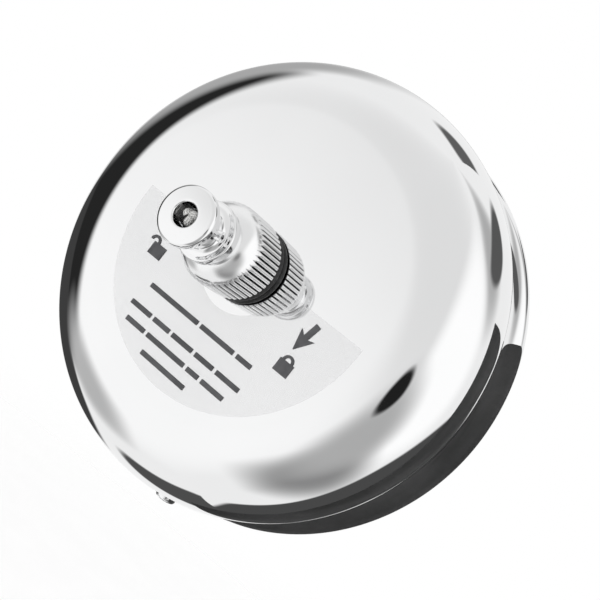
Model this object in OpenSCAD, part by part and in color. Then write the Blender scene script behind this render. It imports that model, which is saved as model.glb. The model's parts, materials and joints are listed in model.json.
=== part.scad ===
// Retractable clothesline: a round polished case that screws to a wall, with a sprung reel of
// line inside, a knurled lock ring on its face and a small knob that pulls out with the line.
// The origin is the centre of the wall plate's back face. The case faces -Y and +Z is up.
// Each piece is drawn on a bench with its own +Z pointing out of the wall, then turned by on_wall().

/* [Case] */
// Distance from the wall to the middle of the case's face
face_z = 32.9; // [32.6:0.1:33.4]
// Radius of the big rounding between the face and the side
shoulder_r = 14.4; // [14.2:0.1:14.6]
// Radius at which that rounding is centred
shoulder_centre_r = 28.3; // [28:0.1:28.6]
// Distance from the wall to the widest part of the shoulder
shoulder_z = 18.0; // [17.8:0.1:18.2]
// Radius of the hollow waist behind the shoulder
waist_r = 7.0; // [6:0.5:9]
// Radius of the rolled rim at the wall
rim_r = 2.2; // [2:0.1:2.4]
// Radius at which the rolled rim is centred
rim_centre_r = 41.0; // [40.8:0.1:41.4]
// Thickness of the case's sheet metal
sheet_t = 1.0; // [0.8:0.1:1.1]

/* [Line and reel] */
// Diameter of the clothesline
line_d = 1.8; // [1.6:0.1:2]
// Outer radius of the reel's flanges
reel_r = 29.0; // [28:0.5:30]
// Radius of the drum that the line is wound on
drum_r = 17.0; // [16.5:0.1:17.5]
// Number of layers of line on the drum
line_layers = 5; // [4:1:6]
// Width of the winding between the reel's flanges
winding_w = 8.0; // [7.6:0.1:8]
// Number of turns in the power spring
spring_turns = 7; // [5:1:9]
// Radius of the guide pulley at the bottom of its groove
pulley_groove_r = 2.7; // [2.5:0.1:2.8]

/* [Lock ring] */
// Radius over the tips of the knurling
knurl_r = 7.4; // [7.2:0.05:7.5]
// Depth of the knurling
knurl_depth = 0.36; // [0.2:0.02:0.4]
// Number of knurled teeth around the ring
knurl_teeth = 48; // [36:2:60]
// Height at which the knurled side starts to round over
knurl_len = 6.9; // [6.7:0.1:7]
// Radius of the rounding above the knurling
dome_r = 4.6; // [4.4:0.1:4.6]

/* [Pull knob] */
// Radius of the knob's flange
knob_r = 5.2; // [5:0.1:5.4]
// Radius of the disc at the knob's front
disc_r = 5.05; // [4.9:0.05:5.2]
// Radius of the neck at its thinnest
neck_r = 3.2; // [3.1:0.1:3.4]
// Height of the knob from its seat on the lock ring to its front
knob_h = 11.3; // [11.1:0.1:11.5]
// Radius of the hole that holds the knot
knot_hole_r = 2.05; // [2:0.05:2.2]

/* [Label] */
// Radius of the half-moon label
label_r = 25.8; // [24:0.2:26]
// Radius of the label's cut-out around the lock ring
label_hole_r = 8.6; // [8.4:0.1:10]
// Height of the label's straight edge above its own middle
label_chord_y = 0.9; // [0:0.1:2]

/* [Hidden] */

$fn = 64;
eps = 0.01;
fit = 0.05;       // radial clearance of a running fit
through = 100;    // longer than anything it cuts
arc_step = 4;     // degrees between the points of an outline's arcs

// Case outline, in radius and height
shoulder_c = [shoulder_centre_r, shoulder_z];
rim_c = [rim_centre_r, rim_r + 0.3];
waist_c = outer_tangent_centre(shoulder_c, shoulder_r, rim_c, rim_r, waist_r);
crown_r = crown_radius(shoulder_c, shoulder_r, face_z);
crown_c = [0, face_z - crown_r];
crown_angle = direction(shoulder_c - crown_c);
waist_top_angle = direction(waist_c - shoulder_c);
waist_rim_angle = direction(waist_c - rim_c);
rim_lip_r = 39.6;
spindle_hole_r = 4.4;
crown_start_r = 12;

// Wall plate and its fixing screw
plate_t = 1.2;
plate_r = 38.8;
plate_flange_h = 7.0;
plate_flange_t = 1.0;
plate_tab_r = 40.6;
plate_tab_z = [2.0, 3.2];
plate_tab_w = 9;
plate_tab_angles = [50, 130];
plate_window_r = 8;
plate_window_at = 20;
wall_screw_r = 2.2;
wall_screw_gap = 48;
fixing_z = 4.2;
fixing_turn = 3;    // degrees from straight down, towards +X
fixing_shank_r = 1.2;
fixing_head_r = 2.1;
fixing_head_at = 43.7;
fixing_head_h = 1.9;
head_round = 0.7;
slot_w = 0.5;
slot_depth = 0.8;
nut_r = 2.6;
nut_in = 34.6;
nut_out = sqrt((plate_r - plate_flange_t) ^ 2 - nut_r ^ 2) - 0.1;

// Reel frame: back plate, posts, guide plate and the studs inside the case
frame_r = 36.0;
back_z = 6.0;
back_t = 1.2;
back_notch = [9, 7];
guide_z = 18.3;
guide_t = 0.8;
guide_holes_x = [-22, -11];
guide_hole_r = 3.5;
post_at = 34.0;
post_angles = [60, 180, 300];
post_r = 2.4;
screw_r = 1.2;
screw_hole_r = 1.3;
screw_head_r = 2.1;
screw_head_h = 1.3;
screw_end_z = 25;
stud_r = 2.2;

// Reel, arbor, bush, spring and winding
reel_z = 7.6;
flange_t = 0.8;
winding_z = reel_z + flange_t;
reel_top = winding_z + winding_w + flange_t;
drum_wall = 1.2;
cavity_r = drum_r - drum_wall;
arbor_r = 3.0;
arbor_foot_r = 5.5;
arbor_top = 18.1;
bush_r = 4.2;
bush_z = 15.0;
boss_r = 6.0;
spring_t = 0.25;
spring_h = 5.8;
spring_z = winding_z + 0.3;
spring_inner_r = 4.3;
spring_outer_r = cavity_r - 0.6;
clip_z = 17.6;
clip_t = 0.4;
winding_r = drum_r + line_layers * line_d;

// Guide pulley and its bracket
pulley_c = [3.9, 0, 24.1];
pulley_r = 4.5;
pulley_w = 3.4;
groove_arc_r = 1.2;
pin_r = 1.0;
bracket_t = 0.8;
bracket_w = 6.0;
bracket_foot = 4.2;
rivet_r = 0.8;

// Rim eyelet in the guide plate
eyelet_at = [32.8, -1.5];
eyelet_hole_r = 1.9;
eyelet_r = 2.6;
eyelet_lip_r = 0.35;

// Route of the line from the winding to the lock ring's mouth
LINE_ROUTE = [[17.5, -20.8, 12.4], [21.4, -17.5, 12.4], [25.2, -14.2, 12.4], [28.4, -11.2, 12.7],
    [30.8, -8.4, 13.4], [32.3, -5.8, 14.6], [32.9, -3.5, 16.2], [32.9, -2.0, 17.8],
    [32.5, -1.2, 19.1], [31.8, -0.5, 20.1], [30.4, -0.1, 20.6], [28.6, 0, 20.6], [25, 0, 20.4],
    [20, 0, 20.3], [15, 0, 20.2], [10, 0, 20.2], [6, 0, 20.2], [3.9, 0, 20.2], [2.4, 0, 20.5],
    [1.1, 0, 21.3], [0.3, 0, 22.6], [0, 0, 24.1], [0, 0, 28], [0, 0, 33], [0, 0, 38], [0, 0, 42],
    [0, 0, 43.9]];

// Spindle, collet and lock ring
flange_r = 7.0;
flange_h = 1.6;
washer_t = 0.3;
inside_z = face_z - sheet_t;
spindle_z = inside_z - washer_t - flange_h - 0.1;
shank_r = 4.2;
shank_top = face_z + 8.7;
pocket_r = 3.0;
pocket_z = face_z + 4.3;
line_bore_r = 1.2;
spindle_nut_h = 1.5;
spindle_nut_r = 5.0;
cushion_z = face_z + 0.05;
cushion_h = 1.65;
cushion_in_r = 5.2;
cushion_out_r = 7.2;
ring_z = face_z + 2.25;
dome_z = ring_z + knurl_len;
dome_end = 66;
ring_top = dome_z + dome_r * sin(dome_end);
ring_chamfer = 0.4;
ring_cavity_r = 4.9;
ring_cavity_z = face_z + 7.5;
ring_web_z = face_z + 11.2;
ring_mouth_r = 2.9;
collet_r = pocket_r - fit;
collet_cone_h = 1.6;
collet_z = face_z + 5.5;
collet_head_z = face_z + 9.3;
collet_head_h = 0.8;
collet_head_r = 4.5;
collet_slots = 4;
thrust_hole_r = 2.6;
thrust_gap = 0.15;

// Pull knob
knob_z = ring_top + 0.2;
knob_top = knob_z + knob_h;
seat_r = 3.9;
flange_z = knob_z + 1.3;
flange_top = flange_z + 2.1;
disc_z = knob_top - 2.2;
disc_edge_z = knob_top - 0.35;
disc_crown_r = 26;
cove_r = 1.3;
spigot_r = 2.2;
spigot_z = ring_web_z + 0.2;
knob_line_r = 1.1;
knot_floor_z = knob_top - 7.0;
knot_z = knob_top - 3.6;
knot_r = 1.7;
clamp_r = 0.9;
clamp_in = 2.0;
clamp_out = 4.1;
clamp_z = flange_top + 1.4;
clamp_angle = 10;

// Label and its marks
label_at = [0.9, -0.45];
film_t = 0.12;
ink_t = 0.06;
open_lock_at = [-15.4, -8.2];
shut_lock_at = [17.6, -9.9];
arrow_at = [18.1, -0.9];
arrow_angle = -102;
word_h = 0.9;
WORDS = [[-12, -13.8, 12], [0.8, -13.8, 8], [9.6, -13.8, 3.4], [-13.2, -18.1, 5], [-7.4, -18.1, 4],
    [-2.6, -18.1, 5], [3.2, -18.1, 4.4], [8.4, -18.1, 5.4], [-12, -20.9, 4.6], [-6.6, -20.9, 9.4],
    [3.6, -20.9, 2.8], [7.2, -20.9, 5.2], [-5.4, -23.8, 10.8]];

// --- helpers ---

// The direction of a vector in the outline's plane, in degrees
function direction(v) = atan2(v[1], v[0]);

// The points of an arc, in steps of about arc_step degrees
function arc(c, r, a0, a1) =
    let (n = max(2, ceil(abs(a1 - a0) / arc_step)))
    [for (i = [0 : n]) c + r * [cos(a0 + (a1 - a0) * i / n), sin(a0 + (a1 - a0) * i / n)]];

// The centre of an arc of radius r that touches two circles from outside
function outer_tangent_centre(c1, r1, c2, r2, r) =
    let (d = norm(c2 - c1), u = (c2 - c1) / d, side = [-u[1], u[0]])
    let (along = ((r1 + r) ^ 2 - (r2 + r) ^ 2 + d ^ 2) / (2 * d))
    c1 + along * u + sqrt((r1 + r) ^ 2 - along ^ 2) * side;

// The radius of a crowned face that runs smoothly into the shoulder and peaks at height top
function crown_radius(c, r, top) =
    let (drop = c[1] - top)
    (r ^ 2 - drop ^ 2 - c[0] ^ 2) / (2 * (drop + r));

// The height of the case's face at a radius
function face_height(r) = crown_c[1] + sqrt(crown_r ^ 2 - r ^ 2);

// The face's outline from one radius to another
function crown_arc(r0, r1, lift = 0) =
    [for (i = [0 : 8]) let (r = r0 + (r1 - r0) * i / 8) [r, face_height(r) + lift]];

// The case's outline from the spindle hole to the rim, t inside the outer surface
function case_line(t) = concat(
    [[spindle_hole_r, face_height(spindle_hole_r) - t]],
    arc(crown_c, crown_r - t, 90 - asin(crown_start_r / crown_r), crown_angle),
    arc(shoulder_c, shoulder_r - t, crown_angle, waist_top_angle),
    arc(waist_c, waist_r + t, 180 + waist_top_angle, 180 + waist_rim_angle),
    arc(rim_c, rim_r - t, waist_rim_angle, -90));

function reversed(list) = [for (i = [len(list) - 1 : -1 : 0]) list[i]];

// Turns a piece from the bench to its place on the wall
module on_wall() {
    rotate([90, 0, 0]) children();
}

// A ring of square section
module ring(outer_r, inner_r, z, h) {
    translate([0, 0, z]) difference() {
        cylinder(r = outer_r, h = h);
        translate([0, 0, -1]) cylinder(r = inner_r, h = h + 2);
    }
}

// Places children at the three posts
module at_posts() {
    for (a = post_angles) rotate(a) translate([post_at, 0, 0]) children();
}

// Upright holes for the frame screws
module post_holes() {
    at_posts() translate([0, 0, -1]) cylinder(r = screw_hole_r, h = through);
}

// A straight-knurled column: teeth with flat tips and roots
module knurled_column(r, depth, teeth, h) {
    pitch = 360 / teeth;
    shares = [[0, 0], [0.18, 1], [0.5, 1], [0.68, 0]];
    linear_extrude(h)
        polygon([for (i = [0 : teeth - 1]) for (s = shares)
            let (a = (i + s[0]) * pitch, d = r - depth + depth * s[1])
            [d * cos(a), d * sin(a)]]);
}

// A tube swept along a list of points with its two ends closed
module swept_line(points, r, sides) {
    last = len(points) - 1;
    up = [0.001, 0.002, 1];
    rings = [for (i = [0 : last])
        let (
            t = points[min(i + 1, last)] - points[max(i - 1, 0)],
            w = t / norm(t),
            side_raw = cross(w, abs(w[2]) > 0.9 ? [0, 1, 0] : up),
            u = side_raw / norm(side_raw),
            v = cross(w, u)
        )
        [u, v]];
    skin = [for (i = [0 : last]) for (k = [0 : sides - 1])
        let (a = 360 * k / sides)
        points[i] + r * (cos(a) * rings[i][0] + sin(a) * rings[i][1])];
    walls = [for (i = [0 : last - 1]) for (k = [0 : sides - 1])
        let (n = (k + 1) % sides)
        [i * sides + k, (i + 1) * sides + k, (i + 1) * sides + n, i * sides + n]];
    ends = [[for (k = [0 : sides - 1]) k], [for (k = [sides - 1 : -1 : 0]) last * sides + k]];
    polyhedron(skin, concat(walls, ends), convexity = 8);
}

// --- wall fixing ---

module wall_plate() {
    color("silver") on_wall() difference() {
        union() {
            cylinder(r = plate_r, h = plate_t);
            ring(plate_r, plate_r - plate_flange_t, 0, plate_flange_h);
            for (a = plate_tab_angles) rotate(a)
                translate([plate_r - 0.5, -plate_tab_w / 2, plate_tab_z[0]])
                    cube([plate_tab_r - plate_r + 0.5, plate_tab_w, plate_tab_z[1] - plate_tab_z[0]]);
        }
        for (side = [-1, 1]) {
            translate([side * wall_screw_gap / 2, 0, -1]) cylinder(r = wall_screw_r, h = plate_t + 2);
            translate([0, side * plate_window_at, -1]) cylinder(r = plate_window_r, h = plate_t + 2);
        }
        rotate(fixing_turn) translate([0, -through / 4, fixing_z]) rotate([90, 0, 0])
            cylinder(r = fixing_shank_r + 0.1, h = through);
    }
}

module plate_nut() {
    color("silver") on_wall() rotate(fixing_turn) translate([0, -nut_in, fixing_z]) rotate([90, 0, 0])
    difference() {
        cylinder(r = nut_r, h = nut_out - nut_in, $fn = 6);
        translate([0, 0, -1]) cylinder(r = fixing_shank_r, h = 10, $fn = 32);
    }
}

module fixing_screw() {
    color("gainsboro") on_wall() rotate(fixing_turn) translate([0, -fixing_head_at, fixing_z])
    rotate([90, 0, 0]) difference() {
        union() {
            translate([0, 0, -(fixing_head_at - nut_in - 0.4)])
                cylinder(r = fixing_shank_r - 0.02, h = fixing_head_at - nut_in);
            rotate_extrude() polygon(concat([[0, 0], [fixing_head_r, 0]],
                arc([fixing_head_r - head_round, fixing_head_h - head_round], head_round, 0, 90),
                [[0, fixing_head_h]]));
        }
        for (a = [0, 90]) rotate(a) translate([-1.1, -slot_w / 2, fixing_head_h - slot_depth])
            cube([2.2, slot_w, 2]);
    }
}

// --- case ---

module housing() {
    color("lightgray") on_wall() difference() {
        rotate_extrude($fn = 128) polygon(concat(case_line(0),
            [[rim_lip_r, rim_c[1] - rim_r], [rim_lip_r, rim_c[1] - rim_r + sheet_t]],
            reversed(case_line(sheet_t))));
        rotate(fixing_turn) translate([0, -rim_lip_r + 4, fixing_z]) rotate([90, 0, 0])
            cylinder(r = fixing_shank_r + 0.15, h = 20);
    }
}

module dome_studs() {
    color("darkgray") on_wall() difference() {
        intersection() {
            at_posts() translate([0, 0, guide_z + guide_t]) cylinder(r = stud_r, h = 20);
            rotate_extrude($fn = 128) polygon(concat(case_line(sheet_t + 0.02), [[0, 0], [0, inside_z]]));
        }
        at_posts() translate([0, 0, guide_z]) cylinder(r = screw_r + 0.02, h = screw_end_z - guide_z + 0.5);
    }
}

// --- reel frame ---

module back_plate() {
    color("slategray") on_wall() difference() {
        translate([0, 0, back_z]) cylinder(r = frame_r, h = back_t);
        cylinder(r = arbor_r, h = through);
        post_holes();
        rotate(fixing_turn) translate([0, -frame_r - 1, back_z - 1]) linear_extrude(back_t + 2)
            square(back_notch, center = true);
    }
}

module spacer_posts() {
    color("silver") on_wall() difference() {
        at_posts() translate([0, 0, back_z + back_t])
            cylinder(r = post_r, h = guide_z - back_z - back_t);
        post_holes();
    }
}

module guide_plate() {
    color("slategray") on_wall() difference() {
        translate([0, 0, guide_z]) cylinder(r = frame_r, h = guide_t);
        post_holes();
        translate([eyelet_at[0], eyelet_at[1], 0]) cylinder(r = eyelet_r, h = through);
        bracket_holes();
        for (x = guide_holes_x) translate([x, 0, 0]) cylinder(r = guide_hole_r, h = through);
    }
}

module frame_screws() {
    color("dimgray") on_wall() at_posts() difference() {
        union() {
            translate([0, 0, back_z - screw_head_h]) cylinder(r = screw_head_r, h = screw_head_h);
            translate([0, 0, back_z - eps]) cylinder(r = screw_r, h = screw_end_z - back_z);
        }
        for (a = [0, 90]) rotate(a) translate([-1.3, -slot_w / 2, back_z - screw_head_h - 1])
            cube([2.6, slot_w, 1.7]);
    }
}

module reel_arbor() {
    color("silver") on_wall() difference() {
        union() {
            translate([0, 0, back_z - 0.8]) cylinder(r = arbor_foot_r, h = 0.8);
            translate([0, 0, back_z - eps]) cylinder(r = arbor_r, h = arbor_top - back_z);
        }
        ring(arbor_r + 1, arbor_r - 0.5, clip_z - 0.02, clip_t + 0.04);
        translate([-0.3, 0, spring_z - 0.3]) cube([0.6, arbor_r + 1, spring_h + 0.6]);
    }
}

module arbor_clip() {
    color("dimgray") on_wall() difference() {
        ring(arbor_r + 1.1, arbor_r - 0.45, clip_z, clip_t);
        translate([0, -1.1, clip_z - 1]) cube([6, 2.2, 3]);
    }
}

module line_reel() {
    color("whitesmoke") on_wall() rotate_extrude($fn = 96) {
        // drum and two flanges, open at the back for the spring
        polygon([[cavity_r, reel_z], [reel_r, reel_z], [reel_r, winding_z], [drum_r, winding_z],
            [drum_r, winding_z + winding_w], [reel_r, winding_z + winding_w], [reel_r, reel_top],
            [bush_r, reel_top], [bush_r, bush_z], [boss_r, bush_z], [boss_r, reel_top - 1.2],
            [cavity_r, reel_top - 1.2]]);
    }
}

module spring_cover() {
    color("gray") on_wall() ring(cavity_r - 0.02, arbor_r + 0.5, reel_z, 0.6);
}

module reel_bush() {
    color("goldenrod") on_wall() ring(bush_r - 0.01, arbor_r + fit, bush_z, reel_top - bush_z);
}

module power_spring() {
    steps = 24;
    total = spring_turns * steps;
    pitch = (spring_outer_r - spring_inner_r) / total;
    middle = [for (i = [0 : total])
        let (a = 90 + i * 360 / steps, r = spring_inner_r + i * pitch)
        [r, a]];
    outer = [for (p = middle) (p[0] + spring_t / 2) * [cos(p[1]), sin(p[1])]];
    inner = [for (p = middle) (p[0] - spring_t / 2) * [cos(p[1]), sin(p[1])]];
    color("steelblue") on_wall() translate([0, 0, spring_z]) linear_extrude(spring_h) union() {
        polygon(concat(outer, reversed(inner)));
        translate([-spring_t / 2, 1.2]) square([spring_t, spring_inner_r - 1.2]);
    }
}

module wound_line() {
    bulge = line_d / 2;
    color("white") on_wall() rotate_extrude($fn = 96) polygon(concat(
        [[drum_r + 0.02, winding_z + 0.1]],
        arc([winding_r - bulge, winding_z + 0.1 + bulge], bulge, -90, 0),
        arc([winding_r - bulge, winding_z + winding_w - 0.1 - bulge], bulge, 0, 90),
        [[drum_r + 0.02, winding_z + winding_w - 0.1]]));
}

module rim_eyelet() {
    lip_at = eyelet_hole_r + eyelet_lip_r;
    top = guide_z + guide_t;
    color("goldenrod") on_wall() translate([eyelet_at[0], eyelet_at[1], 0]) rotate_extrude()
    polygon(concat(
        [[eyelet_r - 0.02, top], [eyelet_r + 0.4, top], [eyelet_r + 0.4, top + eyelet_lip_r]],
        arc([lip_at, top], eyelet_lip_r, 90, 180),
        arc([lip_at, guide_z - 0.2], eyelet_lip_r, 180, 270),
        [[eyelet_r - 0.02, guide_z - 0.2 - eyelet_lip_r]]));
}

module line_lead() {
    color("white") on_wall() swept_line(LINE_ROUTE, line_d / 2, 8);
}

// --- guide pulley ---

module bracket_holes() {
    for (x = [-bracket_foot, bracket_foot]) for (y = [-bracket_foot, bracket_foot])
        translate([pulley_c[0] + x, y, 0]) cylinder(r = rivet_r, h = through);
}

module pulley_bracket() {
    cheek_y = pulley_w / 2 + 0.4;
    cheek_top = pulley_c[2] + 2.6;
    color("lightslategray") on_wall() difference() {
        union() for (side = [-1, 1]) mirror([0, side < 0 ? 1 : 0, 0]) {
            translate([pulley_c[0] - 5.6, cheek_y, guide_z + guide_t])
                cube([11.2, 4, bracket_t]);
            translate([pulley_c[0] - bracket_w / 2, cheek_y, guide_z + guide_t])
                cube([bracket_w, bracket_t, cheek_top - guide_z - guide_t - bracket_w / 2]);
            translate([pulley_c[0], cheek_y, cheek_top - bracket_w / 2]) rotate([-90, 0, 0])
                cylinder(r = bracket_w / 2, h = bracket_t);
        }
        bracket_holes();
        translate(pulley_c) rotate([90, 0, 0]) cylinder(r = pin_r, h = through, center = true);
    }
}

module bracket_rivets() {
    feet = [-bracket_foot, bracket_foot];
    color("silver") on_wall() for (x = feet) for (y = feet)
        translate([pulley_c[0] + x, y, 0]) {
            translate([0, 0, guide_z]) cylinder(r = rivet_r - 0.02, h = guide_t + bracket_t + 0.02);
            translate([0, 0, guide_z + guide_t + bracket_t + 0.01]) cylinder(r = 1.3, h = 0.5);
        }
}

module guide_pulley() {
    half = pulley_w / 2;
    color("whitesmoke") on_wall() translate(pulley_c) rotate([90, 0, 0]) rotate_extrude() polygon(concat(
        [[pin_r + fit, -half], [pulley_r, -half], [pulley_r, -half + 0.5]],
        arc([pulley_groove_r + groove_arc_r, 0], groove_arc_r, 240, 120),
        [[pulley_r, half - 0.5], [pulley_r, half], [pin_r + fit, half]]));
}

module pulley_pin() {
    reach = pulley_w / 2 + 0.4 + bracket_t;
    color("silver") on_wall() translate(pulley_c) rotate([90, 0, 0]) {
        cylinder(r = pin_r, h = 2 * reach, center = true);
        for (side = [-1, 1]) translate([0, 0, side * (reach + 0.25)])
            cylinder(r = pin_r + 0.5, h = 0.5, center = true);
    }
}

// --- spindle and lock ---

module spindle() {
    color("goldenrod") on_wall() rotate_extrude() polygon([
        [line_bore_r + 0.8, spindle_z], [flange_r, spindle_z], [flange_r, spindle_z + flange_h],
        [shank_r, spindle_z + flange_h], [shank_r, shank_top - 0.3], [shank_r - 0.3, shank_top],
        [pocket_r, shank_top], [pocket_r, pocket_z + 1.6], [line_bore_r + 0.4, pocket_z],
        [line_bore_r + 0.4, spindle_z + 1.2]]);
}

module spindle_washer() {
    color("firebrick") on_wall() ring(flange_r, shank_r + 0.1, spindle_z + flange_h, washer_t);
}

module spindle_nut() {
    flats = 5;
    color("goldenrod") on_wall() difference() {
        translate([0, 0, face_z + 0.02]) cylinder(r = spindle_nut_r, h = spindle_nut_h);
        cylinder(r = shank_r, h = through);
        for (i = [0 : flats - 1]) rotate(i * 360 / flats) translate([spindle_nut_r, 0, face_z - 1])
            cylinder(r = 0.5, h = 4);
    }
}

module cushion_ring() {
    round_r = 0.8;
    color([0.08, 0.08, 0.08]) on_wall() rotate_extrude() polygon(concat(
        [[cushion_in_r, cushion_z]],
        arc([cushion_out_r - round_r, cushion_z + round_r], round_r, -90, 0),
        arc([cushion_out_r - round_r, cushion_z + cushion_h - round_r], round_r, 0, 90),
        [[cushion_in_r, cushion_z + cushion_h]]));
}

module lock_collet() {
    color("peru") on_wall() difference() {
        rotate_extrude() polygon([[line_bore_r, collet_z], [pocket_r - 0.9, collet_z],
            [collet_r, collet_z + collet_cone_h], [collet_r, collet_head_z],
            [collet_head_r, collet_head_z], [collet_head_r, collet_head_z + collet_head_h],
            [line_bore_r, collet_head_z + collet_head_h]]);
        for (i = [0 : collet_slots - 1]) rotate(45 + i * 360 / collet_slots)
            translate([0, -0.25, collet_z - 1]) cube([6, 0.5, 4]);
    }
}

module thrust_washer() {
    z = collet_head_z + collet_head_h;
    color("silver") on_wall() ring(collet_head_r, thrust_hole_r, z, ring_web_z - thrust_gap - z);
}

module lock_ring() {
    side_r = knurl_r + 0.02;
    color("silver") on_wall() intersection() {
        translate([0, 0, ring_z - 1]) knurled_column(knurl_r, knurl_depth, knurl_teeth, knob_top);
        rotate_extrude($fn = 96) polygon(concat(
            [[shank_r + fit, ring_z + 0.3], [shank_r + fit + 0.3, ring_z]],
            [[side_r - ring_chamfer, ring_z], [side_r, ring_z + ring_chamfer]],
            arc([side_r - dome_r, dome_z], dome_r, 0, dome_end),
            [[ring_mouth_r + 0.3, ring_top], [ring_mouth_r, ring_top - 0.3]],
            [[ring_mouth_r, ring_web_z], [ring_cavity_r, ring_web_z]],
            [[ring_cavity_r, ring_cavity_z], [shank_r + fit, ring_cavity_z]]));
    }
}

// --- pull knob ---

// A radial hole or pin in the knob's neck
module at_clamp(start) {
    rotate(clamp_angle) translate([start, 0, clamp_z]) rotate([0, 90, 0]) children();
}

// The front of the knob's disc, slightly domed, from one radius to another
function disc_front(r0, r1) =
    let (c = disc_edge_z - sqrt(disc_crown_r ^ 2 - r0 ^ 2))
    [for (i = [0 : 4]) let (r = r0 + (r1 - r0) * i / 4) [r, c + sqrt(disc_crown_r ^ 2 - r ^ 2)]];

module pull_knob() {
    round_r = 0.3;
    edge_r = 0.7;
    color("silver") on_wall() difference() {
        rotate_extrude($fn = 96) polygon(concat(
            [[knob_line_r, spigot_z], [spigot_r - round_r, spigot_z]],
            [[spigot_r, spigot_z + round_r], [spigot_r, knob_z], [seat_r, knob_z]],
            arc([knob_r - round_r, flange_z + round_r], round_r, -80, 0),
            arc([knob_r - round_r, flange_top - round_r], round_r, 0, 90),
            [[neck_r + cove_r, flange_top]],
            arc([neck_r + cove_r, flange_top + cove_r], cove_r, 262, 180),
            arc([neck_r + cove_r, disc_z - cove_r], cove_r, 180, 98),
            [[neck_r + cove_r, disc_z]],
            arc([disc_r - round_r, disc_z + round_r], round_r, -90, 0),
            arc([disc_r - edge_r, disc_edge_z - edge_r], edge_r, 0, 80),
            disc_front(disc_r - edge_r, knot_hole_r + round_r),
            [[knot_hole_r, disc_edge_z - round_r / 2]],
            [[knot_hole_r, knot_floor_z], [knob_line_r, knot_floor_z - 0.8]]));
        at_clamp(0) cylinder(r = clamp_r + 0.02, h = 10);
    }
}

module clamp_screw() {
    socket_depth = 0.9;
    color("gray") on_wall() at_clamp(clamp_in) difference() {
        cylinder(r = clamp_r, h = clamp_out - clamp_in);
        translate([0, 0, clamp_out - clamp_in - socket_depth]) cylinder(r = 0.5, h = 2, $fn = 6);
    }
}

module line_end() {
    z = spigot_z + 0.1;
    color("white") on_wall() translate([0, 0, z]) cylinder(r = line_d / 2, h = knot_z - knot_r - 0.2 - z);
}

// A tied knot: a ball with a turn of line around it
module line_knot() {
    turn_r = 1.1;
    color("white") on_wall() translate([0, 0, knot_z]) {
        sphere(r = knot_r, $fn = 32);
        rotate([62, 0, 20]) rotate_extrude($fn = 40) translate([turn_r, 0]) circle(r = 0.75, $fn = 20);
    }
}

// --- label ---

// The label's outline: the lower part of a disc, with a hole for the lock ring
module label_outline() {
    translate(label_at) difference() {
        intersection() {
            circle(r = label_r, $fn = 128);
            translate([-label_r, label_chord_y - 2 * label_r]) square([2 * label_r, 2 * label_r]);
        }
        circle(r = label_hole_r, $fn = 96);
    }
}

// A thin skin that follows the face between two heights above it
module face_skin(low, high) {
    inner = 4;
    outer = label_r + norm(label_at) + 0.1;
    rotate_extrude($fn = 128) polygon(concat(crown_arc(inner, outer, low),
        reversed(crown_arc(inner, outer, high))));
}

module label_film() {
    color([0.9, 0.9, 0.9, 0.6]) on_wall() intersection() {
        face_skin(0.02, film_t);
        translate([0, 0, face_z - 5]) linear_extrude(8) label_outline();
    }
}

// A padlock with its shackle shut or swung open
module padlock_mark(open) {
    body = [3, 2.4];
    bow_r = 1.15;
    bow_t = 0.5;
    translate([-body[0] / 2, -body[1] / 2]) square(body);
    translate([open ? -body[0] / 2 : 0, body[1] / 2]) difference() {
        circle(r = bow_r, $fn = 32);
        circle(r = bow_r - bow_t, $fn = 32);
        translate([-2 * bow_r, -4 * bow_r]) square(4 * bow_r);
    }
}

// An arrow along +X with swept-back barbs
module arrow_mark(length, shaft, head, half_w, notch) {
    translate([0, -shaft / 2]) square([length - head + notch, shaft]);
    translate([length - head, 0]) polygon([[0, -half_w], [head, 0], [0, half_w], [notch, 0]]);
}

module label_marks() {
    color([0.15, 0.15, 0.15]) on_wall() intersection() {
        face_skin(film_t + 0.01, film_t + 0.01 + ink_t);
        translate([0, 0, face_z - 5]) linear_extrude(8) {
            translate(open_lock_at) padlock_mark(true);
            translate(shut_lock_at) padlock_mark(false);
            translate(arrow_at) rotate(arrow_angle) arrow_mark(5.8, 1.1, 3.5, 1.7, 0.9);
            for (w = WORDS) translate([w[0], w[1]]) square([w[2], word_h]);
        }
    }
}

wall_plate();
plate_nut();
fixing_screw();
housing();
dome_studs();
back_plate();
spacer_posts();
guide_plate();
frame_screws();
reel_arbor();
arbor_clip();
line_reel();
spring_cover();
reel_bush();
power_spring();
wound_line();
rim_eyelet();
line_lead();
pulley_bracket();
bracket_rivets();
guide_pulley();
pulley_pin();
spindle();
spindle_washer();
spindle_nut();
cushion_ring();
lock_collet();
thrust_washer();
lock_ring();
pull_knob();
clamp_screw();
line_end();
line_knot();
label_film();
label_marks();
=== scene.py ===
"""Looks of the retractable clothesline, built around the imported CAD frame.

The origin is the centre of the wall plate's back face. The case faces -Y and +Z is up.
Round pieces are drawn as outlines in millimetres, as (radius, height out of the wall), and turned
about the line's axis.
"""
import json
import math

import bmesh
import bpy
from mathutils import Matrix, Vector


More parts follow.
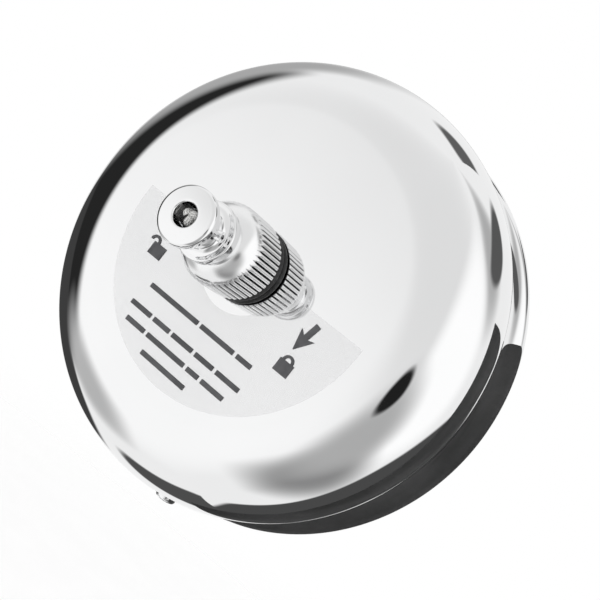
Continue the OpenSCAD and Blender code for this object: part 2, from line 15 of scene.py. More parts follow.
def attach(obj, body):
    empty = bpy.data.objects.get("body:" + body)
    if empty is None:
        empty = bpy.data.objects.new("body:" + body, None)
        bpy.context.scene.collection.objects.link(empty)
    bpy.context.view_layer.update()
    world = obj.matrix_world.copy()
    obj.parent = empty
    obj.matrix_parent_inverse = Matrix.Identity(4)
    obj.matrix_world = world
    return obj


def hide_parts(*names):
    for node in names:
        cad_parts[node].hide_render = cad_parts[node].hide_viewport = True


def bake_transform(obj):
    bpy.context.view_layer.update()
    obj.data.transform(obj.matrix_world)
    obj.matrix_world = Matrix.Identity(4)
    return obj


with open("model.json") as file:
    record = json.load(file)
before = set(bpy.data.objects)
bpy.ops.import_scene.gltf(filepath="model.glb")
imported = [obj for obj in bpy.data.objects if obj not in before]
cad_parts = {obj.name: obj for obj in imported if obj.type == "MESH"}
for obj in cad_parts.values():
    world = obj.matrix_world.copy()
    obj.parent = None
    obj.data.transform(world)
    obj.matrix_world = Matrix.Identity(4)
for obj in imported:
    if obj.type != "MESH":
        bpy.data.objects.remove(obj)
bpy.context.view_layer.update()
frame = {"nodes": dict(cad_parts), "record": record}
scene = bpy.context.scene
scene.view_settings.view_transform = "Standard"

MM = 0.001

# Case outline
FACE_Z = 32.9
SHEET_T = 1.0
SHOULDER_R = 14.4
SHOULDER_C = (28.3, 18.0)
WAIST_R = 7.0
RIM_R = 2.2
RIM_C = (41.0, RIM_R + 0.3)
RIM_LIP_R = 39.6
SPINDLE_HOLE_R = 4.4

# Line, winding and its route from the winding to the lock ring's mouth
LINE_D = 1.8
DRUM_R = 17.0
WINDING_Z = 8.4
WINDING_W = 8.0
LINE_LAYERS = 5
RINGS_PER_LAYER = 4
LAYER_SLACK = 0.03     # layers lie this much closer than the line's diameter
WINDING_GAP = 0.1      # between the winding and each flange of the reel
LINE_ROUTE = [(17.5, -20.8, 12.4), (21.4, -17.5, 12.4), (25.2, -14.2, 12.4), (28.4, -11.2, 12.7),
              (30.8, -8.4, 13.4), (32.3, -5.8, 14.6), (32.9, -3.5, 16.2), (32.9, -2.0, 17.8),
              (32.5, -1.2, 19.1), (31.8, -0.5, 20.1), (30.4, -0.1, 20.6), (28.6, 0, 20.6),
              (25, 0, 20.4), (20, 0, 20.3), (15, 0, 20.2), (10, 0, 20.2), (6, 0, 20.2),
              (3.9, 0, 20.2), (2.4, 0, 20.5), (1.1, 0, 21.3), (0.3, 0, 22.6), (0, 0, 24.1),
              (0, 0, 28), (0, 0, 33), (0, 0, 38), (0, 0, 42), (0, 0, 43.9)]

# Cushion and lock ring
CUSHION_Z = FACE_Z + 0.05
CUSHION_H = 1.65
CUSHION_IN_R = 5.2
CUSHION_OUT_R = 7.2
KNURL_R = 7.4
KNURL_DEPTH = 0.45    # a little deeper than the CAD's flutes
KNURL_TEETH = 48
RING_Z = FACE_Z + 2.25
DOME_Z = RING_Z + 6.9
DOME_R = 4.6
DOME_END = 66
RING_TOP = DOME_Z + DOME_R * math.sin(math.radians(DOME_END))
RING_WEB_Z = FACE_Z + 11.2
RING_MOUTH_R = 2.9
RING_BORE_R = 4.25
RING_CAVITY_R = 4.9
RING_CAVITY_Z = FACE_Z + 7.5

# Pull knob
FLANGE_R = 5.2
DISC_R = 5.05
NECK_R = 3.2
KNOB_Z = RING_TOP + 0.2
KNOB_TOP = KNOB_Z + 11.3
SEAT_R = 3.9
FLANGE_Z = KNOB_Z + 1.3
FLANGE_TOP = FLANGE_Z + 2.1
DISC_Z = KNOB_TOP - 2.2
DISC_EDGE_Z = KNOB_TOP - 0.35
DISC_CROWN_R = 26.0
COVE_R = 1.3
SPIGOT_R = 2.2
SPIGOT_Z = RING_WEB_Z + 0.2
KNOB_LINE_R = 1.1
KNOT_HOLE_R = 2.05
KNOT_FLOOR_Z = KNOB_TOP - 7.0
KNOT_Z = KNOB_TOP - 1.8

# Finishes, in metres
TURNING_PITCH = 0.00022
BRASS_TURNING_PITCH = 0.0003
BRAID_STRANDS = 8
BRAID_PITCH = 0.0052
BRAID_DEPTH = 0.00009

# Camera: degrees, then metres
CAMERA_AZIMUTH = 25.27
CAMERA_ROLL = 38.23
CAMERA_AHEAD = 0.2344
CAMERA_RIGHT = 0.00181
CAMERA_DOWN = 0.00216
CAMERA_LENS = 72.0

# Studio: soft panels round the object, each with its azimuth from -Y towards +X, its elevation,
# its half width and half height in degrees, the softness of its edge, and its brightness.
# A later panel covers the ones before it.
SURROUND = 0.93
BACKDROP = 1.0
PANELS = [
    (18, 38, 66, 46, 0.9, 0.8),         # haze in front, above
    (-32, -32, 50, 36, 0.9, 1.04),      # bright sweep in front, below
    (120, 56, 22, 24, 0.9, 0.45),       # shade beside the strip light
    (78, 12, 33, 50, 0.5, 1.1),         # wide strip light on the right
    (62, -46, 46, 20, 0.9, 0.27),       # shade below right
    (48, -22, 28, 26, 0.9, 0.45),       # shade round the camera
    (36, -3, 9, 9, 0.4, 0.015),         # camera
    (152, -31, 44, 40, 0.08, 0.07),     # dark floor behind right
    (142, 50, 28, 9, 0.3, 0.1),         # dark arc high on the right
    (-92, -1, 33, 40, 0.3, 0.02),       # dark flag on the left
    (-120, 24, 27, 22, 0.8, 0.42),      # light that gets past the flag
    (-120, -23, 27, 20, 0.15, 0.05),    # dark wedge under that light
    (-168, -60, 42, 16, 0.2, 0.08),     # dark floor behind left
    (-170, 66, 26, 10, 0.4, 0.12),      # dark arc high behind
    (-154, 2, 15, 16, 0.6, 0.2),        # dark spot behind the object
    (-78, -46, 26, 17, 0.9, 0.5),       # shade below left
]
PANEL_POWER = 1.8    # 2 makes the panels elliptical; less makes their corners come to a point


# --- node trees ---

class Graph:
    """Short calls for building a node tree."""

    def __init__(self, tree):
        self.tree = tree
        tree.nodes.clear()

    def plug(self, socket, value):
        if isinstance(value, bpy.types.NodeSocket):
            self.tree.links.new(value, socket)
        else:
            socket.default_value = value

    def add(self, kind, inputs=None, **settings):
        node = self.tree.nodes.new(kind)
        for name, value in settings.items():
            setattr(node, name, value)
        for name, value in (inputs or {}).items():
            self.plug(node.inputs[name], value)
        return node

    def math(self, operation, *values):
        node = self.add("ShaderNodeMath", operation=operation)
        for socket, value in zip(node.inputs, values):
            self.plug(socket, value)
        return node.outputs[0]

    def between(self, value, low, high, to_low=0.0, to_high=1.0):
        """Carries value smoothly from one range to another."""
        inputs = {"Value": value, "From Min": low, "From Max": high,
                  "To Min": to_low, "To Max": to_high}
        return self.add("ShaderNodeMapRange", inputs, interpolation_type="SMOOTHSTEP").outputs[0]

    def towards(self, value, target, share):
        """value moved towards target by a share from 0 to 1."""
        return self.math("MULTIPLY_ADD", self.math("SUBTRACT", target, value), share, value)

    def split(self, vector):
        return self.add("ShaderNodeSeparateXYZ", {0: vector}).outputs


class Finish(Graph):
    """A Principled material, and the steps that give it detail."""

    def __init__(self, name, colour, roughness, metallic=0.0, **extra):
        self.material = bpy.data.materials.new(name)
        self.material.use_nodes = True
        super().__init__(self.material.node_tree)
        self.colour = colour
        values = {"Base Color": (*colour, 1), "Roughness": roughness, "Metallic": metallic}
        self.shader = self.add("ShaderNodeBsdfPrincipled", {**values, **extra})
        output = self.add("ShaderNodeOutputMaterial")
        self.tree.links.new(self.shader.outputs[0], output.inputs[0])
        self.place = self.add("ShaderNodeTexCoord").outputs["Object"]

    def stretched(self, scale):
        return self.add("ShaderNodeMapping", {"Vector": self.place, "Scale": scale}).outputs[0]

    def noise(self, scale, detail=2.0, stretch=None):
        """Noise with a scale in cells per metre."""
        vector = self.stretched(stretch) if stretch else self.place
        inputs = {"Vector": vector, "Scale": scale, "Detail": detail}
        return self.add("ShaderNodeTexNoise", inputs).outputs["Fac"]

    def radius(self):
        """Distance from the line's axis, in metres."""
        x, _, z = self.split(self.place)
        squares = self.math("ADD", self.math("MULTIPLY", x, x), self.math("MULTIPLY", z, z))
        return self.math("SQRT", squares)

    def rough(self, value, low, high):
        self.plug(self.shader.inputs["Roughness"], self.between(value, 0.3, 0.7, low, high))
        return self

    def tint(self, value, other):
        """Colour that goes from the finish's own to another where value is high."""
        mix = self.add("ShaderNodeMix", {"Factor": self.between(value, 0.3, 0.7)}, data_type="RGBA")
        mix.inputs[6].default_value = (*self.colour, 1)
        mix.inputs[7].default_value = (*other, 1)
        self.plug(self.shader.inputs["Base Color"], mix.outputs[2])
        return self

    def bump(self, height, depth, strength=1.0):
        """Relief of a depth in metres."""
        inputs = {"Height": height, "Distance": depth, "Strength": strength}
        self.plug(self.shader.inputs["Normal"], self.add("ShaderNodeBump", inputs).outputs[0])
        return self


# --- studio ---

def add_camera():
    azimuth, roll = math.radians(CAMERA_AZIMUTH), math.radians(CAMERA_ROLL)
    ahead = Vector((-math.sin(azimuth), math.cos(azimuth), 0))
    level = Vector((math.cos(azimuth), math.sin(azimuth), 0))
    above = Vector((0, 0, 1))
    right = level * math.cos(roll) + above * math.sin(roll)
    up = above * math.cos(roll) - level * math.sin(roll)
    data = bpy.data.cameras.new("camera")
    data.lens = CAMERA_LENS
    data.sensor_width = 36
    data.clip_start = 0.01
    camera = bpy.data.objects.new("camera", data)
    scene.collection.objects.link(camera)
    place = up * CAMERA_DOWN - right * CAMERA_RIGHT - ahead * CAMERA_AHEAD
    camera.matrix_world = Matrix.Translation(place) @ Matrix((right, up, -ahead)).transposed().to_4x4()
    scene.camera = camera


def add_surroundings():
    """A pale room with soft panels, seen in the polished metal, and a plain white backdrop."""
    world = bpy.data.worlds.new("studio")
    world.use_nodes = True
    scene.world = world
    g = Graph(world.node_tree)
    x, y, z = g.split(g.add("ShaderNodeTexCoord").outputs["Generated"])
    azimuth = g.math("DEGREES", g.math("ARCTAN2", x, g.math("MULTIPLY", y, -1)))
    elevation = g.math("DEGREES", g.math("ARCSINE", z))
    light = SURROUND
    for middle, height, half_w, half_h, soft, brightness in PANELS:
        across = g.math("DIVIDE", g.math("SUBTRACT", azimuth, middle), half_w)
        upward = g.math("DIVIDE", g.math("SUBTRACT", elevation, height), half_h)
        reach = g.math("ADD", g.math("POWER", g.math("ABSOLUTE", across), PANEL_POWER),
                       g.math("POWER", g.math("ABSOLUTE", upward), PANEL_POWER))
        light = g.towards(light, brightness, g.between(reach, 1 + soft, 1 - soft))
    seen = g.add("ShaderNodeLightPath").outputs["Is Camera Ray"]
    background = g.add("ShaderNodeBackground", {"Color": g.towards(light, BACKDROP, seen)})
    output = g.add("ShaderNodeOutputWorld")
    g.tree.links.new(background.outputs[0], output.inputs[0])


def add_floor():
    """A pale floor that fades out before its horizon."""
    level, radius = -0.2, 1.2
    mesh = bpy.data.meshes.new("floor")
    bm = bmesh.new()
    bmesh.ops.create_circle(bm, cap_ends=True, segments=96, radius=radius)
    bm.to_mesh(mesh)
    floor = bpy.data.objects.new("floor", mesh)
    floor.location.z = level
    scene.collection.objects.link(floor)
    finish = Finish("floor_white", (0.93, 0.93, 0.93), 0.7)
    finish.tint(finish.noise(30), (0.95, 0.95, 0.95))
    away = finish.add("ShaderNodeVectorMath", {0: finish.place}, operation="LENGTH").outputs["Value"]
    finish.plug(finish.shader.inputs["Alpha"], finish.between(away, 0.3, 0.9, 1, 0))
    finish.plug(finish.shader.inputs["Emission Color"], (1, 1, 1, 1))
    finish.plug(finish.shader.inputs["Emission Strength"], 0.2)
    mesh.materials.append(finish.material)
    floor.visible_glossy = False


def add_flag():
    """A black card curved round the case's lower right, near the wall, seen only in reflections."""
    radius, front, back = 54, 13, -60
    start, end, steps = -76, 28, 48
    vertices, faces = [], []
    for i in range(steps + 1):
        angle = math.radians(start + (end - start) * i / steps)
        for z in (front, back):
            vertices.append((radius * math.cos(angle) * MM, -z * MM, radius * math.sin(angle) * MM))
    for i in range(steps):
        faces.append((2 * i, 2 * i + 1, 2 * i + 3, 2 * i + 2))
    flag = add_mesh("black_flag", vertices, faces)
    finish = Finish("flag_black", (0.05, 0.05, 0.05), 0.8)
    finish.tint(finish.noise(40, 3), (0.09, 0.09, 0.09))
    flag.data.materials.append(finish.material)
    flag.visible_camera = False
    flag.visible_diffuse = False
    flag.visible_shadow = False


def add_light():
    data = bpy.data.lights.new("key", "AREA")
    data.shape = "DISK"
    data.size = 0.7
    data.energy = 1.5
    light = bpy.data.objects.new("key", data)
    light.location = (-0.25, -0.6, 0.8)
    light.rotation_euler = (-light.location).to_track_quat("-Z", "Y").to_euler()
    light.visible_glossy = False
    scene.collection.objects.link(light)


# --- finishes ---

def knurled_chrome():
    """Satin turned chrome, with dull plate and painted shade in the knurl's grooves."""
    finish = chrome("knurled_chrome", True)
    depth = finish.between(finish.radius(), (KNURL_R - KNURL_DEPTH) * MM, KNURL_R * MM, 1, 0)
    _, y, _ = finish.split(finish.place)
    unshaded_from, shaded_to = DOME_Z + 1.6, DOME_Z + 0.6
    below_dome = finish.between(y, -unshaded_from * MM, -shaded_to * MM)
    # painted shade: the knurl's grooves go near black below the dome
    groove_shade = finish.math("MULTIPLY", depth, below_dome)
    finish.rough(finish.noise(260, 3), 0.14, 0.24)
    return finish.tint(groove_shade, (0.03, 0.03, 0.033))


def chrome(name, waves):
    """Polished plate: a mirror with faint haze, and faint turning marks if waves is true."""
    finish = Finish(name, (0.9, 0.902, 0.905), 0.03, 1.0)
    haze = finish.noise(140, 3)
    finish.rough(haze, 0.018, 0.045)
    finish.tint(finish.noise(45, 2), (0.885, 0.887, 0.89))
    if waves:
        marks = finish.math("SINE", finish.math("MULTIPLY", finish.radius(), 2 * math.pi / TURNING_PITCH))
        grain = finish.noise(900, 2)
        finish.bump(finish.math("MULTIPLY_ADD", grain, 0.5, marks), 0.0000006)
    else:
        finish.bump(finish.noise(60, 1), 0.000004)
    return finish


def steel(name, colour, low, high, relief):
    """Sheet steel with rolling marks along X."""
    finish = Finish(name, colour, low, 1.0)
    grain = finish.noise(300, 4, (0.15, 1, 1))
    darker = tuple(0.8 * c for c in colour)
    return finish.rough(grain, low, high).tint(finish.noise(90, 3), darker).bump(grain, relief)


def brass(name, colour):
    """Turned brass, with fine turning marks and a little tarnish."""
    finish = Finish(name, colour, 0.25, 1.0)
    waves = finish.math("MULTIPLY", finish.radius(), 2 * math.pi / BRASS_TURNING_PITCH)
    marks = finish.math("SINE", waves)
    tarnish = finish.noise(220, 4)
    return finish.rough(tarnish, 0.18, 0.4).tint(tarnish, (0.5, 0.36, 0.18)).bump(marks, 0.000003)


def braid(name, around, along):
    """White braided line, with crossing strands and painted shade in the grooves between them.

    around gives turns round the line, and along gives metres along it.
    """
    finish = Finish(name, (0.9, 0.9, 0.88), 0.75, **{"Sheen Weight": 0.25})
    turn = finish.math("MULTIPLY", around(finish), BRAID_STRANDS)
    run = finish.math("DIVIDE", along(finish), BRAID_PITCH)
    height = None
    for sign in (1, -1):
        phase = finish.math("MULTIPLY_ADD", run, sign * BRAID_STRANDS, turn)
        wave = finish.math("SINE", finish.math("MULTIPLY", phase, 2 * math.pi))
        height = wave if height is None else finish.math("MAXIMUM", height, wave)
    fibres = finish.noise(6000, 2)
    relief = finish.math("MULTIPLY_ADD", fibres, 0.35, height)
    # painted shade: the braid goes grey in the low grooves between its strands
    finish.tint(finish.between(height, 0.1, 0.9, 0.8, 0.2), (0.62, 0.62, 0.6))
    return finish.bump(relief, BRAID_DEPTH)


def straight_braid():
    """Braid of the line's straight run: its strands keep their size as the line is drawn out."""
    def around(finish):
        x, _, z = finish.split(finish.place)
        return finish.math("DIVIDE", finish.math("ARCTAN2", z, x), 2 * math.pi)

    return braid("braid_straight", around, lambda finish: finish.split(finish.place)[1])


def bent_braid():
    """Braid of a bent or wound tube, from its own map: turns around it, and metres along it."""
    def mapped(axis):
        return lambda finish: finish.split(finish.add("ShaderNodeUVMap").outputs[0])[axis]

    return braid("braid_bent", mapped(0), mapped(1))


def rubber():
    finish = Finish("cushion_rubber", (0.012, 0.012, 0.013), 0.55)
    grain = finish.noise(2500, 3)
    finish.rough(grain, 0.45, 0.7).tint(finish.noise(300, 2), (0.03, 0.03, 0.03))
    return finish.bump(grain, 0.00002)


def acetal():
    finish = Finish("natural_plastic", (0.88, 0.87, 0.83), 0.38, **{"Subsurface Weight": 0.1})
    finish.plug(finish.shader.inputs["Subsurface Radius"], (0.002, 0.002, 0.002))
    grain = finish.noise(700, 3)
    finish.rough(grain, 0.32, 0.5).tint(finish.noise(80, 2), (0.84, 0.83, 0.78))
    return finish.bump(grain, 0.00001)


def fibre():
    finish = Finish("washer_fibre", (0.45, 0.14, 0.1), 0.7)
    grain = finish.noise(1200, 4, (1, 3, 1))
    return finish.tint(grain, (0.3, 0.08, 0.06)).bump(grain, 0.00003)


def film():
    """Clear satin film: mostly see-through, with a slight milky haze."""
    finish = Finish("label_film", (0.9, 0.9, 0.91), 0.32, **{"Alpha": 0.08})
    grain = finish.noise(400, 2)
    return finish.rough(grain, 0.28, 0.4).tint(finish.noise(60, 2), (0.87, 0.87, 0.88))


def ink():
    finish = Finish("label_ink", (0.07, 0.07, 0.075), 0.5)
    grain = finish.noise(1500, 3)
    finish.rough(grain, 0.42, 0.62).tint(finish.noise(500, 2), (0.1, 0.1, 0.105))
    return finish.bump(grain, 0.000004)


def make_finishes():
    """One finish for each material slot of the record."""
    blued = steel("spring_steel", (0.3, 0.34, 0.42), 0.2, 0.4, 0.000002)
    blued.tint(blued.noise(150, 3), (0.22, 0.2, 0.3))
    return {
        "case_chrome": chrome("case_chrome", False),
        "knob_chrome": chrome("knob_chrome", True),
        "bright_chrome": chrome("bright_chrome", True),
        "zinc_steel": steel("zinc_steel", (0.66, 0.67, 0.68), 0.28, 0.48, 0.000006),
        "frame_steel": steel("frame_steel", (0.52, 0.54, 0.56), 0.32, 0.5, 0.000008),
        "ground_steel": steel("ground_steel", (0.62, 0.63, 0.65), 0.15, 0.3, 0.000002),
        "spring_steel": blued,
        "dark_screw": steel("dark_screw", (0.06, 0.06, 0.065), 0.35, 0.55, 0.000004),
        "bush_brass": brass("bush_brass", (0.72, 0.56, 0.3)),
        "collet_brass": brass("collet_brass", (0.66, 0.48, 0.26)),
        "natural_plastic": acetal(),
        "washer_fibre": fibre(),
        "cushion_rubber": rubber(),
        "line_white": bent_braid(),
        "label_film": film(),
        "label_ink": ink(),
    }


# --- shapes ---

def spread(start, end, count):
    """Points from one to another, the last left out."""
    return [(start[0] + (end[0] - start[0]) * i / count, start[1] + (end[1] - start[1]) * i / count)
            for i in range(count)]


def arc(centre, radius, start, end, step=4.0):
    """Points along an arc, with its angles in degrees."""
    count = max(2, math.ceil(abs(end - start) / step))
    angles = [math.radians(start + (end - start) * i / count) for i in range(count + 1)]
    return [(centre[0] + radius * math.cos(a), centre[1] + radius * math.sin(a)) for a in angles]


def add_mesh(name, vertices, faces, sharp=35.0):
    """A smooth mesh object; edges sharper than an angle stay crisp."""
    mesh = bpy.data.meshes.new(name)
    mesh.from_pydata(vertices, [], faces)
    bm = bmesh.new()
    bm.from_mesh(mesh)
    bmesh.ops.recalc_face_normals(bm, faces=bm.faces)
    bm.to_mesh(mesh)
    mesh.shade_smooth()
    mesh.set_sharp_from_angle(angle=math.radians(sharp))
    piece = bpy.data.objects.new(name, mesh)
    scene.collection.objects.link(piece)
    return piece


def grid_faces(columns, rows):
    """Quads of a grid that closes on itself both ways."""
    return [(i * rows + k, i * rows + (k + 1) % rows,
             (i + 1) % columns * rows + (k + 1) % rows, (i + 1) % columns * rows + k)
            for i in range(columns) for k in range(rows)]


def lathe(name, outline, segments=128, limit=None):
    """A solid turned from a closed outline. limit(segment number, radius) may trim the radius."""
    vertices = []
    for i in range(segments):
        angle = 2 * math.pi * i / segments
        for radius, z in outline:
            r = limit(i, radius) if limit else radius
            vertices.append((r * math.cos(angle) * MM, -z * MM, r * math.sin(angle) * MM))
    return add_mesh(name, vertices, grid_faces(segments, len(outline)))


def tube(name, points, radius, sides=12):
    """A round tube along points in millimetres on the bench, with its ends closed.

    Its map holds turns around the tube, and metres along it.
    """
    path = [Vector((x, -z, y)) * MM for x, y, z in points]
    vertices, along, run = [], [], 0.0
    side = None
    for i, point in enumerate(path):
        tangent = (path[min(i + 1, len(path) - 1)] - path[max(i - 1, 0)]).normalized()
        side = tangent.orthogonal() if side is None else side - tangent * side.dot(tangent)
        side.normalize()
        other = tangent.cross(side)
        run += (point - path[i - 1]).length if i else 0.0
        along.append(run)
        for k in range(sides):
            a = 2 * math.pi * k / sides
            vertices.append(point + (side * math.cos(a) + other * math.sin(a)) * radius * MM)
    faces = [(i * sides + k, (i + 1) * sides + k, (i + 1) * sides + (k + 1) % sides,
              i * sides + (k + 1) % sides) for i in range(len(path) - 1) for k in range(sides)]
    last = (len(path) - 1) * sides
    faces += [tuple(range(sides)), tuple(last + k for k in reversed(range(sides)))]
    piece = add_mesh(name, vertices, faces, 60)
    uv = piece.data.uv_layers.new(name="braid")
    for face in piece.data.polygons:
        columns = [piece.data.loops[i].vertex_index % sides for i in face.loop_indices]
        wraps = max(columns) - min(columns) > sides / 2
        for i, column in zip(face.loop_indices, columns):
            row = piece.data.loops[i].vertex_index // sides
            turn = column / sides + (1 if wraps and column < sides / 2 else 0)
            uv.data[i].uv = (turn, along[row])
    return piece


def smooth_path(points, steps):
    """A Catmull-Rom curve through points."""
    route = [Vector(p) for p in points]
    result = []
    for i in range(len(route) - 1):
        before, start, end, after = (route[max(i - 1, 0)], route[i], route[i + 1],
                                     route[min(i + 2, len(route) - 1)])
        for k in range(steps):
            t = k / steps
            result.append(0.5 * (2 * start + (end - before) * t
                                 + (2 * before - 5 * start + 4 * end - after) * t ** 2
                                 + (3 * start - before - 3 * end + after) * t ** 3))
    return result + [route[-1]]


def fit_piece(piece, finish, body, slot, *nodes):
    """Gives a piece its finish and its body, and hides the CAD nodes that it stands for."""
    piece.data.materials.append(finish.material)
    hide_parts(*nodes)
    if body:
        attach(piece, body)
    return piece


# --- case ---

def tangent_centre(c1, r1, c2, r2, r):
    """Centre of an arc of radius r that touches two circles from outside."""
    a, b = Vector(c1), Vector(c2)
    gap = (b - a).length
    unit = (b - a) / gap
    along = ((r1 + r) ** 2 - (r2 + r) ** 2 + gap ** 2) / (2 * gap)
    aside = math.sqrt((r1 + r) ** 2 - along ** 2)
    return a + unit * along + Vector((-unit.y, unit.x)) * aside


def heading(start, end):
    """Direction from one point of an outline to another, in degrees."""
    return math.degrees(math.atan2(end[1] - start[1], end[0] - start[0]))


def case_line(depth, step):
    """The case's outline from the spindle hole to the rim, at a depth under its surface."""
    drop = SHOULDER_C[1] - FACE_Z
    crown_r = (SHOULDER_R ** 2 - drop ** 2 - SHOULDER_C[0] ** 2) / (2 * (drop + SHOULDER_R))
    crown_c = (0.0, FACE_Z - crown_r)
    waist_c = tangent_centre(SHOULDER_C, SHOULDER_R, RIM_C, RIM_R, WAIST_R)
    crown_end = heading(crown_c, SHOULDER_C)
    waist_top, waist_rim = heading(SHOULDER_C, waist_c), heading(RIM_C, waist_c)
    hole_angle = 90 - math.degrees(math.asin(SPINDLE_HOLE_R / crown_r))
    crown_spacing = 0.8
    crown_step = math.degrees(crown_spacing / crown_r)
    return (arc(crown_c, crown_r - depth, hole_angle, crown_end, crown_step)[:-1]
            + arc(SHOULDER_C, SHOULDER_R - depth, crown_end, waist_top, step)[:-1]
            + arc(waist_c, WAIST_R + depth, 180 + waist_top, 180 + waist_rim, step)[:-1]
            + arc(RIM_C, RIM_R - depth, waist_rim, -90, 3 * step))


def build_case(finishes):
    back = RIM_C[1] - RIM_R
    outline = (case_line(0, 1.5) + [(RIM_LIP_R, back), (RIM_LIP_R, back + SHEET_T)]
               + case_line(SHEET_T, 6.0)[::-1])
    shell = lathe("case_shell", outline, 288)
    fit_piece(shell, finishes["case_chrome"], "case", "case_chrome", "housing")

    edge = 0.8
    outline = ([(CUSHION_IN_R, CUSHION_Z)]
               + arc((CUSHION_OUT_R - edge, CUSHION_Z + edge), edge, -90, 0, 8)
               + arc((CUSHION_OUT_R - edge, CUSHION_Z + CUSHION_H - edge), edge, 0, 90, 8)
               + [(CUSHION_IN_R, CUSHION_Z + CUSHION_H)])
    fit_piece(lathe("rubber_cushion", outline, 96), finishes["cushion_rubber"], "case",
              "cushion_rubber", "cushion_ring")


# --- lock ring ---

def build_lock_ring(finishes):
    side, edge = KNURL_R + 0.02, 0.4
    outline = ([(RING_BORE_R, RING_Z + 0.3), (RING_BORE_R + 0.3, RING_Z)]
               + arc((side - edge, RING_Z + edge), edge, -90, 0, 15)[:-1]
               + spread((side, RING_Z + edge), (side, DOME_Z), 6)
               + arc((side - DOME_R, DOME_Z), DOME_R, 0, DOME_END, 3)
               + arc((RING_MOUTH_R + 0.3, RING_TOP - 0.3), 0.3, 90, 180, 30)
               + [(RING_MOUTH_R, RING_WEB_Z), (RING_CAVITY_R, RING_WEB_Z),
                  (RING_CAVITY_R, RING_CAVITY_Z), (RING_BORE_R, RING_CAVITY_Z)])
    steps = 16
    root = KNURL_R - KNURL_DEPTH

    def trim(column, radius):
        """Rounded teeth with narrow grooves between them, cut into the turned outline."""
        share = column % steps / steps
        tooth = root + KNURL_DEPTH * math.sin(math.pi * share) ** 0.85
        return min(radius, tooth)

    ring = lathe("knurled_ring", outline, KNURL_TEETH * steps, trim)
    fit_piece(ring, knurled_chrome(), "ring", "knob_chrome", "lock_ring")


# --- pull knob and line ---

def build_knob(finishes):
    edge = 0.3
    rim = 0.7
    crown_z = DISC_EDGE_Z - math.sqrt(DISC_CROWN_R ** 2 - (DISC_R - rim) ** 2)
    rim_angle = math.degrees(math.acos((DISC_R - rim) / DISC_CROWN_R))
    hole_angle = math.degrees(math.acos((KNOT_HOLE_R + edge) / DISC_CROWN_R))
    hole_edge_z = crown_z + DISC_CROWN_R * math.sin(math.radians(hole_angle)) - edge
    outline = ([(KNOB_LINE_R, SPIGOT_Z), (SPIGOT_R - edge, SPIGOT_Z), (SPIGOT_R, SPIGOT_Z + edge)]
               + [(SPIGOT_R, KNOB_Z), (SEAT_R, KNOB_Z)]
               + arc((FLANGE_R - edge, FLANGE_Z + edge), edge, -80, 0, 8)
               + arc((FLANGE_R - edge, FLANGE_TOP - edge), edge, 0, 90, 8)
               + arc((NECK_R + COVE_R, FLANGE_TOP + COVE_R), COVE_R, 270, 180, 6)
               + arc((NECK_R + COVE_R, DISC_Z - COVE_R), COVE_R, 180, 90, 6)
               + arc((DISC_R - edge, DISC_Z + edge), edge, -90, 0, 8)
               + arc((DISC_R - rim, DISC_EDGE_Z - rim), rim, 0, 80, 6)[:-1]
               + arc((0, crown_z), DISC_CROWN_R, rim_angle, hole_angle, 0.8)[:-1]
               + arc((KNOT_HOLE_R + edge, hole_edge_z), edge, 90, 180, 10)
               + [(KNOT_HOLE_R, KNOT_FLOOR_Z), (KNOB_LINE_R, KNOT_FLOOR_Z - 0.8)])
    knob = lathe("turned_knob", outline, 128)
    fit_piece(knob, finishes["knob_chrome"], "knob", "knob_chrome", "pull_knob")


def build_knot(finishes):
    """A tied overhand knot that sits in the knob's hole."""
    size, tied_r, aside = 0.42, 0.58, (0.25, 0.22)
    lobe, rise = 1.35, 0.6
    full_circle, drawn = 96, 91
    points = []
    for i in range(drawn):
        t = 2 * math.pi * i / full_circle
        points.append((aside[0] + size * (math.sin(t) + lobe * math.sin(2 * t)),
                       aside[1] + size * (math.cos(t) - lobe * math.cos(2 * t)),
                       KNOT_Z - rise * math.sin(3 * t)))
    knot = tube("tied_knot", points, tied_r, 12)
    fit_piece(knot, finishes["line_white"], "knob", "line_white", "line_knot")


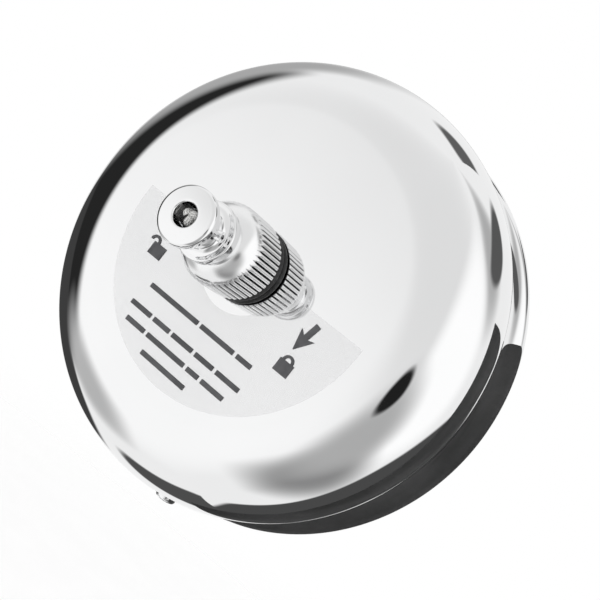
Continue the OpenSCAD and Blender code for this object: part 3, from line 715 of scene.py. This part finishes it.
def build_line(finishes):
    lead = tube("line_to_spindle", smooth_path(LINE_ROUTE, 6), LINE_D / 2)
    fit_piece(lead, finishes["line_white"], "case", "line_white", "line_lead")

    start, end = LINE_ROUTE[-1][2], SPIGOT_Z + 0.1
    in_lead, under_knot, steps = 2.0, 1.0, 48
    heights = ([start - in_lead] + [start + (end - start) * i / steps for i in range(steps + 1)]
               + [KNOT_Z - under_knot])
    drawn = tube("line_drawn_out", [(0, 0, z) for z in heights], LINE_D / 2 - 0.02, 24)
    fit_piece(drawn, straight_braid(), None, "line_white", "line_end")
    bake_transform(drawn)


def ease(value, start, end):
    """0 before start and 1 after end, with a smooth rise between them."""
    share = min(max((value - start) / (end - start), 0.0), 1.0)
    return share * share * (3 - 2 * share)


def winding_points():
    """Centre of the line on the drum: rings side by side, and each layer back over the last.

    A step to the next ring or layer comes a tenth of a turn ahead of the one beneath it, so that
    the line never runs through itself. The winding ends where the line leaves for the guide.
    """
    line_r, step, points_per_turn = LINE_D / 2, 0.1, 60
    per_layer = RINGS_PER_LAYER - 2 * step
    turns = LINE_LAYERS * per_layer + step
    ring_gap = (WINDING_W - LINE_D - 2 * WINDING_GAP) / (RINGS_PER_LAYER - 1)
    leave = math.atan2(LINE_ROUTE[0][1], LINE_ROUTE[0][0])
    points = []
    for i in range(round(turns * points_per_turn) + 1):
        turn = i / points_per_turn
        ring = layer = 0.0
        for k in range(LINE_LAYERS):
            side = 1 if k % 2 == 0 else -1
            for j in range(1, RINGS_PER_LAYER):
                done = k * per_layer + j
                ring += side * ease(turn, done - step, done)
            if k < LINE_LAYERS - 1:
                done = (k + 1) * per_layer + step
                layer += ease(turn, done - step, done)
        radius = DRUM_R + line_r + 0.02 + layer * (LINE_D - LAYER_SLACK)
        angle = leave + 2 * math.pi * (turn - turns)
        points.append((radius * math.cos(angle), radius * math.sin(angle),
                       WINDING_Z + line_r + WINDING_GAP + ring * ring_gap))
    return points


def build_winding(finishes):
    coil = tube("wound_turns", winding_points(), LINE_D / 2 - 0.03, 8)
    fit_piece(coil, finishes["line_white"], "reel", "line_white", "wound_line")


def finish_frame(finishes):
    """The CAD nodes that stay in view take the finish of their own slot."""
    for part in frame["record"]["subparts"]:
        mesh = frame["nodes"][part["node"]].data
        mesh.materials.clear()
        mesh.materials.append(finishes[part["material_slot"]].material)


add_camera()
add_surroundings()
add_light()
add_flag()
finishes = make_finishes()
build_line(finishes)
finish_frame(finishes)
build_case(finishes)
build_lock_ring(finishes)
build_knob(finishes)
build_knot(finishes)
build_winding(finishes)
add_floor()
